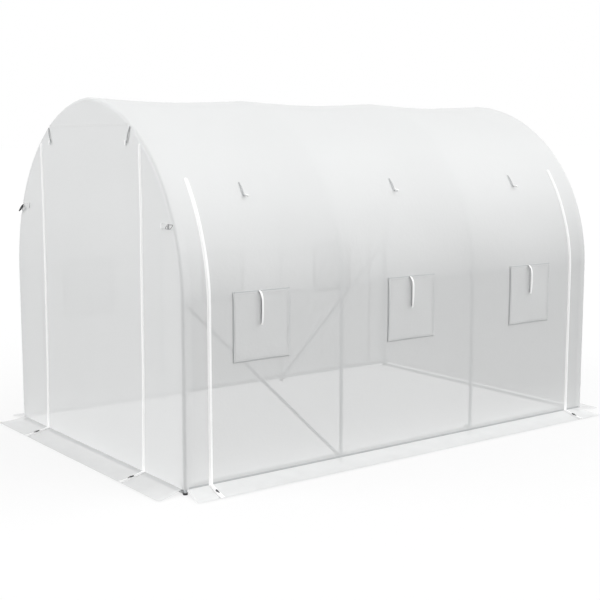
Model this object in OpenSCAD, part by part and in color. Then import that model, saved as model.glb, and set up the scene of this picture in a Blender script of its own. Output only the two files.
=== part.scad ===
// Polytunnel greenhouse: four steel hoops under a zipped film cover with a ground skirt.
// X runs across, Y along the tunnel with the door end at -Y, Z up from the ground.

/* [Cover] */
// Width over the film
cover_w = 1950; // [1700:10:2400]
// Height over the film at the crown
cover_h = 1975; // [1850:5:2300]
// Length over the film
cover_l = 3000; // [2700:10:4200]
// How far each bow is centred across the middle, which points the crown
crown_offset = 50; // [20:1:90]
// Film thickness
film_t = 2; // [1.5:0.1:3]
// Width of the ground skirt beyond the wall
skirt_w = 158; // [110:1:240]
// Height at which the skirt leaves the wall
skirt_rise = 28; // [22:1:45]

/* [Frame] */
// Outside diameter of the hoop, purlin and rail tubes
tube_d = 19; // [17:0.5:25]
// Outside diameter of the corner braces
brace_d = 16; // [12:0.5:17]
// Wall of the coupling sleeves
sleeve_t = 1.2; // [0.8:0.1:2]
// Half length of a coupling sleeve
sleeve_half = 42; // [36:1:70]
// Height of the side purlins above the line where the bows start to bend
purlin_rise = 14; // [0:1:25]
// Side of a cross clamp
clamp_s = 34; // [28:1:36]
// Wall of a cross clamp round its tube
clamp_wall = 4; // [3:0.5:6]
// Wall of a cross clamp between the hoop and its tube
saddle_t = 1.6; // [1.2:0.1:3]
// Diameter of a leg foot
foot_d = 25; // [22:0.5:30]
// Height of a leg foot
foot_h = 10; // [7:0.5:11]

/* [Door] */
// Distance between the two door zips
door_w = 1170; // [900:5:1200]
// Drop from the crown to the top of the door
door_drop = 255; // [240:5:400]
// Drop from the crown to the tops of the door straps
strap_drop = 169; // [165:1:230]
// Distance of the door straps inside the door zips
strap_inset = 102; // [90:1:160]

/* [Zips] */
// Width of a zip tape
zip_w = 24; // [18:1:34]
// How far a zip tape stands out from the film
zip_proud = 1; // [0.5:0.1:2]
// Width of the closed coil down the middle of a zip
coil_w = 7; // [5:0.5:10]
// Height of the coil on its tape
coil_t = 1.2; // [0.6:0.1:2]
// Distance of the side zips from the ends
side_zip_inset = 155; // [120:5:220]
// Drop from the crown to the tops of the side zips
side_zip_drop = 418; // [360:1:520]
// Distance of the sliders from the wall, out along the skirt
slider_out = 72; // [60:1:90]

/* [Windows] */
// Width of a window flap
flap_w = 350; // [260:5:420]
// Height of a window flap
flap_h = 350; // [260:5:350]
// Height of the flap tops above the line where the bows start to bend
flap_rise = 35; // [0:1:36]
// How far a flap covers the film round its hole
flap_lap = 22; // [14:1:40]
// How far the front windows stand from the middle of their bay, towards the door
front_window_shift = 37; // [0:1:60]
// How far the back windows stand from the middle of their bay, towards the door
back_window_shift = 17; // [0:1:60]
// Width of the hem round a flap
hem_w = 12; // [8:1:20]
// Thickness of the hem on the flap
hem_t = 0.8; // [0.5:0.1:1.5]
// Thickness of the insect mesh
mesh_t = 1; // [0.6:0.1:1.5]
// Width of the hanging window strap
strap_w = 15; // [10:1:24]
// Length of the hanging window strap
strap_l = 175; // [100:5:220]

/* [Ties] */
// Width of a tie strap
tie_w = 12; // [8:1:20]
// Length of a tie strap
tie_l = 84; // [60:1:110]
// Thickness of straps and webbing
web_t = 1.5; // [1:0.1:2.5]
// Lean of the door straps from upright
tie_lean = 23; // [0:1:30]
// Diameter of a tie toggle
toggle_d = 10; // [7:0.5:14]
// Length of a tie toggle
toggle_l = 30; // [20:1:40]
// Height of the shoulder loops above the line where the bows start to bend
loop_rise = 384; // [300:1:480]
// Lean of the shoulder loops below level
loop_lean = 14; // [0:1:30]
// Distance of the shoulder webbing inside the edge of the arch
loop_inset = 100; // [80:1:130]
// Length of the shoulder webbing
loop_l = 64; // [50:1:70]
// Width of the shoulder webbing
loop_w = 20; // [14:1:26]
// Thickness of the ring in the shoulder webbing
ring_t = 2.4; // [1.5:0.1:4]
// Length of the open part of the ring
ring_gap = 68; // [40:1:80]

/* [Fits] */
// Clearance where one piece rests on another
seat = 0.3; // [0.2:0.05:0.5]
// Clearance of a tube in a sleeve or clamp
fit = 0.2; // [0.1:0.05:0.3]

/* [Hidden] */
$fn = 96;
half_w = cover_w/2;
half_l = cover_l/2;
tube_r = tube_d/2;
sleeve_r = tube_r + fit + sleeve_t;
lip_r = sleeve_r + seat + film_t;
arch_r = half_w + crown_offset;
spring_z = cover_h - sqrt(arch_r*arch_r - crown_offset*crown_offset);
hoop_x = half_w - film_t - seat - sleeve_r;
bow_r = arch_r - film_t - seat - sleeve_r;
end_in = half_l - film_t - seat;
end_y = end_in - sleeve_r;
hoop_ys = [-end_y, -end_y/3, end_y/3, end_y];
bay = 2*end_y/3;
crown_a = acos(crown_offset/bow_r);
crown_z = spring_z + sqrt(bow_r*bow_r - crown_offset*crown_offset);
cross_gap = sleeve_r + fit + saddle_t + fit + tube_r;
rail_x = hoop_x - cross_gap;
rail_low = tube_d + seat;
rail_z = rail_low + clamp_wall + fit + tube_r;
clamp_depth = cross_gap + tube_r + fit + clamp_wall;
purlin_z = spring_z + purlin_rise;
door_top = cover_h - door_drop;
strap_top = cover_h - strap_drop;
flap_z = spring_z + flap_rise - flap_h;
loop_z = spring_z + loop_rise;
zip_a = asin((cover_h - side_zip_drop - spring_z)/arch_r);
zip_y = half_l - side_zip_inset;
zip_x = door_w/2;
wall_edge_y = zip_y - zip_w/2;
wing_edge_y = zip_y + zip_w/2;
sleeve_a = 180*sleeve_half/(PI*bow_r);
end_r = arch_r - lip_r - seat;
window_ys = [-bay - front_window_shift, 0, bay - back_window_shift];
foot_floor = 3;
skirt_bend = skirt_rise - film_t;
brace_low = rail_z - tube_r;
slider_l = 26;
slider_w = 12;
slider_h = 4;
pull_w = 7;
pull_l = 22;
pull_t = 2;
toggle_drop = tie_l + toggle_d/2 + seat;
loop_edge = sqrt(arch_r*arch_r - loop_rise*loop_rise) - crown_offset;

// Angle that a length takes round the outside of the cover
function cover_angle(l) = 180*l/(PI*arch_r);

tie_a = zip_a - cover_angle(tie_w);

// Turns a profile of radius and length round the right bow centre, from one angle to another
module sweep(a0, a1) {
  translate([-crown_offset, 0, spring_z]) rotate([90, 0, 0]) rotate([0, 0, a0])
    rotate_extrude(angle = a1 - a0) children();
}

// Keeps the right half of a swept piece, short of the middle by a small gap
module right_half(gap) {
  intersection() {
    children();
    translate([gap, -cover_l, 0]) cube([cover_w, 2*cover_l, 2*cover_h]);
  }
}

module both_sides() {
  children();
  mirror([1, 0, 0]) children();
}

// Round bar along a bow between two angles
module bow_bar(r, a0, a1) {
  sweep(a0, a1) translate([bow_r, 0]) circle(r);
}

module leg_bar(r, z0, z1) {
  translate([hoop_x, 0, z0]) cylinder(r = r, h = z1 - z0);
}

module right_leg() {
  leg_bar(tube_r, foot_floor + seat, spring_z - seat/2);
}

module right_bow() {
  right_half(seat/2) bow_bar(tube_r, 180*seat/(2*PI*bow_r), crown_a + 1);
}

module left_legs() {
  color("silver") mirror([1, 0, 0]) for (y = hoop_ys) translate([0, y, 0]) right_leg();
}

module right_legs() {
  color("silver") for (y = hoop_ys) translate([0, y, 0]) right_leg();
}

// Cup under the end of a leg
module foot() {
  difference() {
    translate([hoop_x, 0, 0]) cylinder(d = foot_d, h = foot_h);
    translate([hoop_x, 0, foot_floor]) cylinder(r = tube_r + fit, h = foot_h);
  }
}

module leg_feet() {
  color("dimgray") both_sides() for (y = hoop_ys) translate([0, y, 0]) foot();
}

module bows(y) {
  color("silver") translate([0, y, 0]) both_sides() right_bow();
}

module front_bows() bows(hoop_ys[0]);
module second_bows() bows(hoop_ys[1]);
module third_bows() bows(hoop_ys[2]);
module back_bows() bows(hoop_ys[3]);

// Round the joint of a leg and its bow
module eaves_sleeve() {
  difference() {
    union() {
      leg_bar(sleeve_r, spring_z - sleeve_half, spring_z);
      bow_bar(sleeve_r, 0, sleeve_a);
    }
    leg_bar(tube_r + fit, spring_z - sleeve_half - 1, spring_z);
    bow_bar(tube_r + fit, 0, sleeve_a + 1);
  }
}

module half_crown(r, a) {
  right_half(0) bow_bar(r, crown_a - a, crown_a + 1);
}

// Round the joint of two bows at the crown
module crown_sleeve() {
  difference() {
    both_sides() half_crown(sleeve_r, sleeve_a);
    both_sides() half_crown(tube_r + fit, sleeve_a + 1);
  }
}

module hoop_sleeves() {
  color("silver") for (y = hoop_ys) translate([0, y, 0]) {
    both_sides() eaves_sleeve();
    crown_sleeve();
  }
}

// Tube along the tunnel
module long_tube(x, z) {
  translate([x, end_in, z]) rotate([90, 0, 0]) cylinder(r = tube_r, h = 2*end_in);
}

module ridge_purlin() color("silver") long_tube(0, crown_z - cross_gap);
module right_purlin() color("silver") long_tube(rail_x, purlin_z);
module left_purlin() color("silver") long_tube(-rail_x, purlin_z);
module right_base_rail() color("silver") long_tube(rail_x, rail_z);
module left_base_rail() color("silver") long_tube(-rail_x, rail_z);

// Bar on the ground between the two legs of an end hoop
module ground_bar(y) {
  reach = hoop_x - foot_d/2 - seat;
  color("silver") translate([-reach, y, tube_r]) rotate([0, 90, 0])
    cylinder(r = tube_r, h = 2*reach);
}

module front_ground_bar() ground_bar(-end_y);
module back_ground_bar() ground_bar(end_y);

// Leans from the foot of the second hoop to the eaves of the front one, and is cut to fit between them
module brace() {
  lift = purlin_z - brace_low;
  cut = 4*foot_d;
  difference() {
    translate([hoop_x, -end_y/3, brace_low]) rotate([atan2(bay, lift), 0, 0])
      cylinder(d = brace_d, h = sqrt(bay*bay + lift*lift));
    translate([hoop_x, -end_y/3, -cut]) cylinder(r = foot_d/2 + seat, h = 3*cut);
    translate([hoop_x - cut/2, -end_y/3, -cut]) cube([cut, cut, 3*cut]);
    translate([hoop_x, -end_y, 0]) cylinder(r = sleeve_r + seat, h = cover_h);
    translate([hoop_x - cut/2, -end_y - cut, 0]) cube([cut, cut, cover_h]);
  }
}

module right_front_brace() color("silver") brace();
module left_back_brace() color("silver") rotate([0, 0, 180]) brace();

// Block that a lengthwise tube passes through, saddled on the hoop beside it
module clamp_block(below) {
  inner = brace_d/2 + seat;
  translate([-clamp_depth, -clamp_s/2, -below])
    cube([clamp_depth - inner, clamp_s, below + clamp_s/2]);
}

module clamp_bore() {
  translate([-cross_gap, clamp_s, 0]) rotate([90, 0, 0]) cylinder(r = tube_r + fit, h = 2*clamp_s);
}

module rail_clamp() {
  difference() {
    translate([hoop_x, 0, rail_z]) clamp_block(rail_z - rail_low);
    translate([hoop_x, 0, rail_z]) clamp_bore();
    leg_bar(tube_r + fit, 0, 2*rail_z + clamp_s);
  }
}

module purlin_clamp() {
  difference() {
    translate([hoop_x, 0, purlin_z]) clamp_block(clamp_s/2);
    translate([hoop_x, 0, purlin_z]) clamp_bore();
    leg_bar(sleeve_r + fit, spring_z - 2*clamp_s, spring_z);
    bow_bar(sleeve_r + fit, 0, 2*sleeve_a);
  }
}

module ridge_clamp() {
  difference() {
    translate([0, 0, crown_z]) rotate([0, -90, 0]) clamp_block(clamp_s/2);
    translate([0, 0, crown_z]) rotate([0, -90, 0]) clamp_bore();
    both_sides() half_crown(sleeve_r + fit, 2*sleeve_a);
  }
}

// Trims the clamps of the end hoops to the inside of the end walls
module between_ends() {
  intersection() {
    children();
    translate([-half_w, -end_in, 0]) cube([cover_w, 2*end_in, cover_h]);
  }
}

module ridge_clamps() {
  color("gray") between_ends() for (y = hoop_ys) translate([0, y, 0]) ridge_clamp();
}

module side_clamps() {
  color("gray") both_sides() between_ends() for (y = hoop_ys) translate([0, y, 0]) {
    rail_clamp();
    purlin_clamp();
  }
}

// Strip of film seen end on, from one place to another along the tunnel
module film_strip(y0, y1) {
  translate([-film_t, y0]) square([film_t, y1 - y0]);
}

// The film rolls inward round the end hoop
module film_lip() {
  intersection() {
    translate([-lip_r, half_l - lip_r]) difference() {
      circle(lip_r);
      circle(lip_r - film_t);
    }
    translate([-lip_r, half_l - lip_r]) square(2*lip_r);
  }
}

module wing_section() {
  film_strip(wing_edge_y, half_l - lip_r);
  film_lip();
}

module roof_section() {
  film_strip(-half_l + lip_r, half_l - lip_r);
  film_lip();
  mirror([0, 1]) film_lip();
}

module half_roof() {
  right_half(0) sweep(zip_a, crown_a + 1) translate([arch_r, 0]) roof_section();
}

module roof_cover() color("white", 0.8) both_sides() half_roof();

// Stands a section of the film up as wall and bends it on round the bow
module wall_and_bend() {
  translate([half_w, 0, skirt_rise]) linear_extrude(spring_z - skirt_rise) children();
  sweep(0, zip_a) translate([arch_r, 0]) children();
}

module window_hole(y) {
  translate([half_w - lip_r, y - flap_w/2 + flap_lap, flap_z + flap_lap])
    cube([2*lip_r, flap_w - 2*flap_lap, flap_h - 2*flap_lap]);
}

module curtain() {
  difference() {
    wall_and_bend() film_strip(-wall_edge_y, wall_edge_y);
    for (y = window_ys) window_hole(y);
  }
}

module right_curtain() color("white", 0.8) curtain();
module left_curtain() color("white", 0.8) mirror([1, 0, 0]) curtain();

// Film between the side zips and the ends
module wings() {
  wall_and_bend() mirror([0, 1]) wing_section();
  mirror([0, 1, 0]) wall_and_bend() mirror([0, 1]) wing_section();
}

module right_wings() color("white", 0.8) wings();
module left_wings() color("white", 0.8) mirror([1, 0, 0]) wings();

// Outline of an end wall inside the rolled edge
module end_half() {
  intersection() {
    union() {
      translate([0, skirt_rise]) square([half_w - lip_r - seat, spring_z - skirt_rise]);
      intersection() {
        translate([-crown_offset, spring_z]) circle(end_r, $fn = 240);
        translate([0, spring_z]) square([cover_w, cover_h]);
      }
    }
    square([cover_w, cover_h]);
  }
}

module end_outline() {
  end_half();
  mirror([1, 0]) end_half();
}

module end_sheet(y) {
  translate([0, y + film_t, 0]) rotate([90, 0, 0]) linear_extrude(film_t) children();
}

module front_gable() {
  color("white", 0.8) end_sheet(-half_l) intersection() {
    end_outline();
    translate([-half_w, door_top]) square([cover_w, cover_h]);
  }
}

module side_panel() {
  end_sheet(-half_l) intersection() {
    end_half();
    translate([zip_x + zip_w/2, 0]) square([cover_w, door_top]);
  }
}

module front_right_panel() color("white", 0.8) side_panel();
module front_left_panel() color("white", 0.8) mirror([1, 0, 0]) side_panel();

module front_door() {
  color("white", 0.8) end_sheet(-half_l) translate([-zip_x + zip_w/2, skirt_rise])
    square([door_w - zip_w, door_top - skirt_rise]);
}

module back_wall() color("white", 0.8) end_sheet(half_l - film_t) end_outline();

// Skirt in section: round from the foot of the wall to the ground and out flat
module skirt_section(extra) {
  intersection() {
    translate([skirt_bend, skirt_rise]) difference() {
      circle(skirt_bend + film_t);
      circle(skirt_bend - extra);
    }
    translate([-film_t, 0]) square([skirt_bend + film_t, skirt_rise]);
  }
  translate([skirt_bend, 0]) square([skirt_w - skirt_bend, film_t + extra]);
}

// Run of skirt beside the right wall
module side_skirt(y0, y1, extra) {
  translate([half_w, y1, 0]) rotate([90, 0, 0]) linear_extrude(y1 - y0) skirt_section(extra);
}

// Run of skirt before the front wall
module end_skirt(x0, x1, extra) {
  translate([x0, -half_l, 0]) rotate([90, 0, -90]) mirror([0, 0, 1]) linear_extrude(x1 - x0)
    skirt_section(extra);
}

module side_skirts() {
  reach = half_l - lip_r;
  side_skirt(-reach, -wing_edge_y, 0);
  side_skirt(-wall_edge_y, wall_edge_y, 0);
  side_skirt(wing_edge_y, reach, 0);
}

module right_skirt() color("whitesmoke") side_skirts();
module left_skirt() color("whitesmoke") mirror([1, 0, 0]) side_skirts();

module front_skirt() {
  reach = half_w - lip_r;
  inner = zip_x - zip_w/2;
  outer = zip_x + zip_w/2;
  color("whitesmoke") {
    end_skirt(-reach, -outer, 0);
    end_skirt(-inner, inner, 0);
    end_skirt(outer, reach, 0);
  }
}

module back_skirt() {
  reach = half_w - lip_r;
  color("whitesmoke") mirror([0, 1, 0]) end_skirt(-reach, reach, 0);
}

// Band of zip on the front wall, standing out from the film
module door_band(w, proud) {
  translate([-w/2, -half_l - proud, skirt_rise]) cube([w, film_t + proud, door_top - skirt_rise]);
  end_skirt(-w/2, w/2, proud);
}

module front_door_zips() {
  color("white") for (x = [-zip_x, zip_x]) translate([x, 0, 0]) {
    door_band(zip_w, zip_proud);
    door_band(coil_w, zip_proud + coil_t);
  }
}

// Band of zip up the side wall and round the bend
module side_band(y, w, proud) {
  wall_and_bend() translate([-film_t, -y - w/2]) square([film_t + proud, w]);
  side_skirt(y - w/2, y + w/2, proud);
}

module side_zips() {
  for (y = [-zip_y, zip_y]) {
    side_band(y, zip_w, zip_proud);
    side_band(y, coil_w, zip_proud + coil_t);
  }
}

module right_curtain_zips() color("white") side_zips();
module left_curtain_zips() color("white") mirror([1, 0, 0]) side_zips();

// Slider with its pull lying along the zip
module slider() {
  base = film_t + zip_proud + coil_t + seat;
  nose = slider_l/2 - pull_w;
  translate([-slider_l/2, -slider_w/2, base]) cube([slider_l, slider_w, slider_h]);
  translate([nose, -pull_w/2, base + slider_h]) cube([pull_l, pull_w, pull_t]);
}

module zip_sliders() {
  out = slider_out + slider_l/2;
  color("dimgray") {
    for (x = [-zip_x, zip_x]) translate([x, -half_l - out, 0]) rotate([0, 0, -90]) slider();
    both_sides() for (y = [-zip_y, zip_y]) translate([half_w + out, y, 0]) slider();
  }
}

// Square of film over a window, with a hem sewn round it
module flap(y) {
  translate([half_w + seat, y - flap_w/2, flap_z]) {
    cube([film_t, flap_w, flap_h]);
    difference() {
      cube([film_t + hem_t, flap_w, flap_h]);
      translate([film_t, hem_w, hem_w]) cube([film_t, flap_w - 2*hem_w, flap_h - 2*hem_w]);
    }
  }
}

module right_window_flaps() color("white", 0.8) for (y = window_ys) flap(y);
module left_window_flaps() color("white", 0.8) mirror([1, 0, 0]) for (y = window_ys) flap(y);

// Insect mesh behind each window hole, lapping the film by half the flap lap
module window_mesh(y) {
  lap = flap_lap/2;
  size_y = flap_w - 2*lap;
  size_z = flap_h - 2*lap;
  translate([half_w - film_t - seat - mesh_t, y - size_y/2, flap_z + lap])
    cube([mesh_t, size_y, size_z]);
}

module window_meshes() color("gainsboro") both_sides() for (y = window_ys) window_mesh(y);

// Strap that hooks over the top of a flap and hangs down it
module window_strap(y) {
  face = half_w + film_t + hem_t + 2*seat;
  top = flap_z + flap_h + seat;
  translate([face, y - strap_w/2, top - strap_l]) cube([web_t, strap_w, strap_l + web_t]);
  translate([half_w + seat/2, y - strap_w/2, top]) cube([face - half_w, strap_w, web_t]);
}

module window_straps() color("white") both_sides() for (y = window_ys) window_strap(y);

// Strap lying down the curtain from just under the top of the side zips
module curtain_tie(y) {
  sweep(tie_a - cover_angle(tie_l), tie_a)
    translate([arch_r + seat, -y - tie_w/2]) square([web_t, tie_w]);
}

module toggle() cylinder(d = toggle_d, h = toggle_l, center = true);

module curtain_toggle(y) {
  translate([-crown_offset, y, spring_z]) rotate([0, cover_angle(toggle_drop) - tie_a, 0])
    translate([arch_r + seat + toggle_d/2, 0, 0]) rotate([90, 0, 0]) toggle();
}

// Places a piece at the top of a door strap, with -Z down along it
module at_strap() {
  translate([zip_x - strap_inset, -half_l - seat, strap_top]) rotate([0, tie_lean, 0]) children();
}

module door_tie() at_strap() translate([-tie_w/2, -web_t, -tie_l]) cube([tie_w, web_t, tie_l]);

module door_toggle() {
  at_strap() translate([0, -toggle_d/2, -toggle_drop]) rotate([0, 90, 0]) toggle();
}

module tie_straps() {
  color("dimgray") both_sides() {
    for (y = window_ys) curtain_tie(y);
    door_tie();
  }
}

module tie_toggles() {
  color("white") both_sides() {
    for (y = window_ys) curtain_toggle(y);
    door_toggle();
  }
}

// Places a piece on the front wall at the edge of the arch, with +X out and a little down
module at_loop() {
  both_sides() translate([loop_edge, -half_l - seat, loop_z]) rotate([0, loop_lean, 0]) children();
}

// Webbing doubled round its ring and sewn to the wall
module shoulder_loops() {
  thick = 2*web_t + ring_t + 2*seat;
  eye = [loop_l/2 - web_t, thick - 2*web_t, 2*loop_w];
  color("white") at_loop() difference() {
    translate([-loop_inset, -thick, -loop_w/2]) cube([loop_l, thick, loop_w]);
    translate([loop_l/2 - loop_inset, web_t - thick, -loop_w]) cube(eye);
  }
}

// Long flat ring hanging in the webbing, out past the edge of the arch
module loop_rings() {
  hole = [ring_gap, 2*ring_t, loop_w + 2*ring_t];
  bar = loop_l - loop_inset - web_t - seat - ring_t;
  color("dimgray") at_loop() translate([bar, -web_t - seat - ring_t, 0]) difference() {
    translate([0, 0, -loop_w/2 - 2*ring_t]) cube([ring_gap + 2*ring_t, ring_t, loop_w + 4*ring_t]);
    translate([ring_t, -ring_t/2, -hole[2]/2]) cube(hole);
  }
}

left_legs();
right_legs();
leg_feet();
front_bows();
second_bows();
third_bows();
back_bows();
hoop_sleeves();
ridge_purlin();
left_purlin();
right_purlin();
left_base_rail();
right_base_rail();
front_ground_bar();
back_ground_bar();
right_front_brace();
left_back_brace();
ridge_clamps();
side_clamps();
roof_cover();
right_curtain();
left_curtain();
right_wings();
left_wings();
front_gable();
front_left_panel();
front_right_panel();
front_door();
back_wall();
front_skirt();
right_skirt();
left_skirt();
back_skirt();
front_door_zips();
right_curtain_zips();
left_curtain_zips();
zip_sliders();
right_window_flaps();
left_window_flaps();
window_meshes();
window_straps();
tie_straps();
tie_toggles();
shoulder_loops();
loop_rings();
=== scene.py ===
import math

import bmesh
import bpy
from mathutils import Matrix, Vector, noise


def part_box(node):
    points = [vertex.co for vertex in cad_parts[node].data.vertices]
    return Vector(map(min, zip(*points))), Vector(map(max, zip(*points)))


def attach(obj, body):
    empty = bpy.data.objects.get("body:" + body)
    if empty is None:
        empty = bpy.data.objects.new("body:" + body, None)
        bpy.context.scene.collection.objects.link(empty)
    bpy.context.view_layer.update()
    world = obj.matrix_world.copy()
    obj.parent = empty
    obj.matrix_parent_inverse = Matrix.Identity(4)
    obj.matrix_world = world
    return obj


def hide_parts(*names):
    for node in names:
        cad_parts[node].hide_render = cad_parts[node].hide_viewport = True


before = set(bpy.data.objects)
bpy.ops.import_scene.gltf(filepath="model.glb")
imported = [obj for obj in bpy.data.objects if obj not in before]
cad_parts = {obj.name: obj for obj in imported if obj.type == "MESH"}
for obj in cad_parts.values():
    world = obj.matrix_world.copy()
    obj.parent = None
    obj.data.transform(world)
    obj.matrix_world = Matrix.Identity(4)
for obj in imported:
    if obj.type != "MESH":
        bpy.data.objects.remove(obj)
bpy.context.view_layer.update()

# The tunnel's outside sizes, read off the solids, in metres
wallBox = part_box("right_curtain")
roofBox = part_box("roof_cover")
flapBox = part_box("right_window_flaps")
tunnel = {
    "crownOffset": 0.050,  # each bow is centred this far across the middle
    "endRound": 0.017,  # how softly the film rolls over the end hoops
    "tubeRadius": 0.0095,
}
halfWidth = wallBox[1][0]
footZ = wallBox[0][2]  # height at which the skirt leaves the wall
halfLength = roofBox[1][1]
crown = roofBox[1][2]
archRadius = halfWidth + tunnel["crownOffset"]
springZ = crown - math.sqrt(archRadius ** 2 - tunnel["crownOffset"] ** 2)
wallRun = springZ - footZ
halfGirth = wallRun + archRadius * math.acos(tunnel["crownOffset"] / archRadius)
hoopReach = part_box("back_bows")[1][1] - tunnel["tubeRadius"]
hoopLines = [-hoopReach, -hoopReach / 3, hoopReach / 3, hoopReach]
flapTop = flapBox[1][2]
flapSize = flapTop - flapBox[0][2]
windowCentres = [flapBox[0][1] + flapSize / 2, 0.0, flapBox[1][1] - flapSize / 2]
windows = [(side, centre) for side in (1, -1) for centre in windowCentres]  # side 1 is the right wall
alongX = Vector((1, 0, 0))
alongY = Vector((0, 1, 0))
alongZ = Vector((0, 0, 1))
print("frame loaded, spring line at", round(springZ, 4))


# Small helpers

def toLinear(hexColour):
    values = [int(hexColour[i:i + 2], 16) / 255 for i in (1, 3, 5)]
    return [v / 12.92 if v <= 0.04045 else ((v + 0.055) / 1.055) ** 2.4 for v in values] + [1.0]


def smooth(t):
    t = min(1.0, max(0.0, t))
    return t * t * (3 - 2 * t)


def spread(low, high, count):
    return [low + (high - low) * i / count for i in range(count + 1)]


def addNode(tree, kind, links=(), **settings):
    # a link starts at a socket, or at a node for the first output that it uses
    node = tree.nodes.new(kind)
    for key, value in settings.items():
        if key.startswith("in_"):
            name = key[3:].replace("_", " ")
            node.inputs[int(name) if name.isdigit() else name].default_value = value
        else:
            setattr(node, key, value)
    for source, target in links:
        if isinstance(source, bpy.types.Node):
            source = next(socket for socket in source.outputs if socket.enabled)
        tree.links.new(source, node.inputs[target])
    return node


def newMaterial(name):
    material = bpy.data.materials.new(name)
    material.use_nodes = True
    material.node_tree.nodes.clear()
    return material, material.node_tree


def patternMaterial(name):
    # with the place on the piece, in metres
    material, tree = newMaterial(name)
    return material, tree, addNode(tree, "ShaderNodeTexCoord").outputs["Object"]


def enterPiece(name, mesh, replaced=()):
    piece = bpy.data.objects.new(name, mesh)
    bpy.context.scene.collection.objects.link(piece)
    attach(piece, "root")
    if replaced:
        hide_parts(*replaced)
    return piece


def makePiece(name, points, faces, material, replaced=(), uvs=None, haze=None, closed=False):
    mesh = bpy.data.meshes.new(name)
    mesh.from_pydata([tuple(p) for p in points], [], faces)
    if closed:
        shell = bmesh.new()
        shell.from_mesh(mesh)
        bmesh.ops.recalc_face_normals(shell, faces=shell.faces)
        shell.to_mesh(mesh)
        shell.free()
    mesh.materials.append(material)
    mesh.polygons.foreach_set("use_smooth", [True] * len(mesh.polygons))
    if closed:
        mesh.set_sharp_from_angle(angle=math.radians(40))  # keeps the edges of tapes and straps crisp
    if uvs is not None:
        layer = mesh.uv_layers.new(name="sheet")
        for loop in mesh.loops:
            layer.data[loop.index].uv = uvs[loop.vertex_index]
    if haze is not None:
        mesh.attributes.new("haze", "FLOAT", "POINT").data.foreach_set("value", haze)
    mesh.update()
    return enterPiece(name, mesh, replaced)


def gridFaces(rows, columns, start=0, keep=None, turned=False):
    faces = []
    for i in range(rows - 1):
        for j in range(columns - 1):
            if keep is None or keep(i, j):
                a = start + i * columns + j
                quad = (a, a + 1, a + columns + 1, a + columns)
                faces.append(quad[::-1] if turned else quad)
    return faces


def sweepBand(stations, profile, points, faces, looped):
    # stations are (place, out, across, scale across), and profile is a closed ring of (across, out) steps
    start = len(points)
    count = len(profile)
    for place, out, across, scale in stations:
        for side, lift in profile:
            points.append(place + across * (side * scale) + out * lift)
    spans = len(stations) if looped else len(stations) - 1
    for i in range(spans):
        near = start + i * count
        far = start + (i + 1) % len(stations) * count
        for j in range(count):
            k = (j + 1) % count
            faces.append((near + j, near + k, far + k, far + j))
    if not looped:
        faces.append(tuple(start + j for j in reversed(range(count))))
        faces.append(tuple(start + spans * count + j for j in range(count)))


def bandPiece(name, bands, material, replaced=(), haze=None, looped=False):
    # one piece of closed shells, each band a pair of stations and profile
    points = []
    faces = []
    for stations, profile in bands:
        sweepBand(stations, profile, points, faces, looped)
    milk = None if haze is None else [haze] * len(points)
    makePiece(name, points, faces, material, replaced, haze=milk, closed=True)


# How the film lies

film = {
    "crownSag": 0.0195,  # dip between hoops at the crown
    "wallSag": 0.0018,
    "sagFrom": 0.97,  # share of the wall at which the dip starts to grow
    "sagRise": 0.38,  # run over which it grows
    "crease": 0.68,  # 1 is a sharp fold over each hoop, 0 a soft wave
    "ripple": 0.0022,  # slow waves in the roof
    "footHold": 0.12,  # the foot is held straight over this run
    "billow": 0.007,  # how far the end walls belly in
    "fold": 0.0012,  # upright folds in the end walls
    "sideHold": 0.3,  # the end walls are held at the sides over this run
    "endHold": 0.5,  # and at the ground and the arch over this one
    "archGap": 0.06,
    "archDrop": 0.42,  # how fast the arch falls away from the middle
    "paintedLightFrom": 0.80,  # painted light: from this height up the film is drawn paler and less clear, for the brighter top-lit roof
    "paintedLightTo": 1.50,
    "endHaze": 0.52,  # the end walls are milkier from the ground up
    "weldHaze": 0.80,  # the doubled film over the end hoops
    "weldWidth": 0.05,
    "rolled": 0.02,  # film rolled under at the two ends, together
    "gridStep": 0.022,
    "lipSteps": 6,
}


def sectionAt(s):
    # place and outward direction at a distance from the foot of the right wall, over the top
    if s > halfGirth:
        x, z, outX, outZ = sectionAt(2 * halfGirth - s)
        return -x, z, -outX, outZ
    if s <= wallRun:
        return halfWidth, footZ + s, 1.0, 0.0
    a = (s - wallRun) / archRadius
    x = archRadius * math.cos(a) - tunnel["crownOffset"]
    return x, springZ + archRadius * math.sin(a), math.cos(a), math.sin(a)


def bayDip(y):
    # 0 at a hoop and 1 in the middle of a bay, rounded over the tube
    for low, high in zip(hoopLines, hoopLines[1:]):
        if low <= y <= high:
            t = (y - low) / (high - low)
            return film["crease"] * 4 * t * (1 - t) + (1 - film["crease"]) * math.sin(math.pi * t) ** 2
    return 0.0


def coverSink(s, y):
    # how far the film lies inside its taut shape
    up = min(s, 2 * halfGirth - s)
    height = smooth((up - wallRun * film["sagFrom"]) / film["sagRise"])
    sag = film["wallSag"] + (film["crownSag"] - film["wallSag"]) * height
    wave = noise.noise(Vector((s * 2.1, y * 3.4, 1.7)))  # waves per metre, and a seed
    sag += wave * film["ripple"] * (0.25 + 0.75 * height)
    return sag * bayDip(y) * smooth(up / film["footHold"])


# painted light: the film grows paler and less clear with height, up from the least haze given
def paintedHeightHaze(z, least):
    return least + (1 - least) * smooth((z - film["paintedLightFrom"]) / (film["paintedLightTo"] - film["paintedLightFrom"]))


def coverPoint(s, y, lift=0.0):
    x, z, outX, outZ = sectionAt(s)
    off = lift - coverSink(s, y)
    return Vector((x + outX * off, y, z + outZ * off))


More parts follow.
